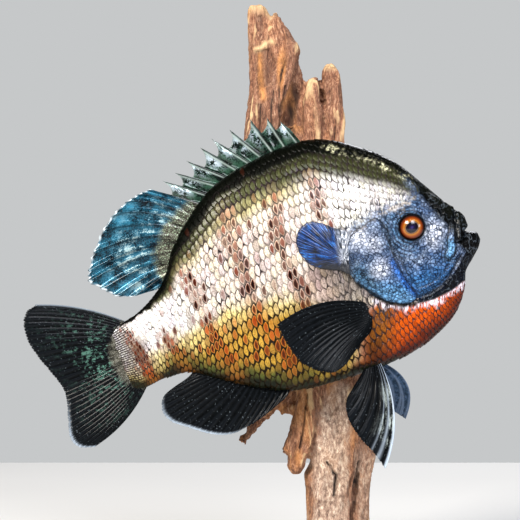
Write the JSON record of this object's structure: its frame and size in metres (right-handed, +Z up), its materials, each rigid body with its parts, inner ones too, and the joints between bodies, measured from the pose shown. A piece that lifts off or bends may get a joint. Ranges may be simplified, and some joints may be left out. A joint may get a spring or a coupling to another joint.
{
  "type": "mounted bluegill trophy on driftwood",
  "caption": "Mounted bluegill, head tilted up with fins spread, its left flank seated on an upright piece of weathered driftwood that hangs on a wall.",
  "frame": {"origin": "on the driftwood's flat back, the face that bears on the wall, behind the middle of the fish", "axes": "+X to the viewer's right, the way the fish faces; +Y out of the back of the driftwood, into the wall; +Z up"},
  "size_m": [0.2503, 0.0817, 0.3292],
  "materials": {
    "scaled_skin": "lacquered scaled skin: olive-black back, silver-cream flank with rust spots, gold belly, red-orange breast",
    "head_skin": "lacquered scaleless skin, silver-blue to slate",
    "ear_flap_skin": "lacquered skin, royal blue to black",
    "jaw_skin": "lacquered skin, charcoal",
    "eye_glass": "polished glass taxidermy eye with copper iris and dark pupil",
    "back_fin_membrane": "lacquered fin membrane, silver grey-green with teal",
    "dark_fin_membrane": "lacquered fin membrane, charcoal black with pale rays",
    "driftwood": "weathered reddish-tan driftwood, bare"
  },
  "bodies": {
    "root": {"trunk": "scaled_skin", "tail": "scaled_skin", "head": "head_skin", "upper_jaw": "jaw_skin", "lower_jaw": "jaw_skin", "gill_cover_right": "head_skin", "gill_cover_left": "head_skin", "ear_flap_right": "ear_flap_skin", "ear_flap_left": "ear_flap_skin", "eye_right": "eye_glass", "eye_left": "eye_glass", "spiny_dorsal_fin": "back_fin_membrane", "soft_dorsal_fin": "back_fin_membrane", "caudal_fin": "dark_fin_membrane", "anal_fin": "dark_fin_membrane", "pectoral_fin_right": "dark_fin_membrane", "pectoral_fin_left": "dark_fin_membrane", "pelvic_fin_right": "dark_fin_membrane", "pelvic_fin_left": "dark_fin_membrane", "driftwood": "driftwood"}
  },
  "joints": []
}
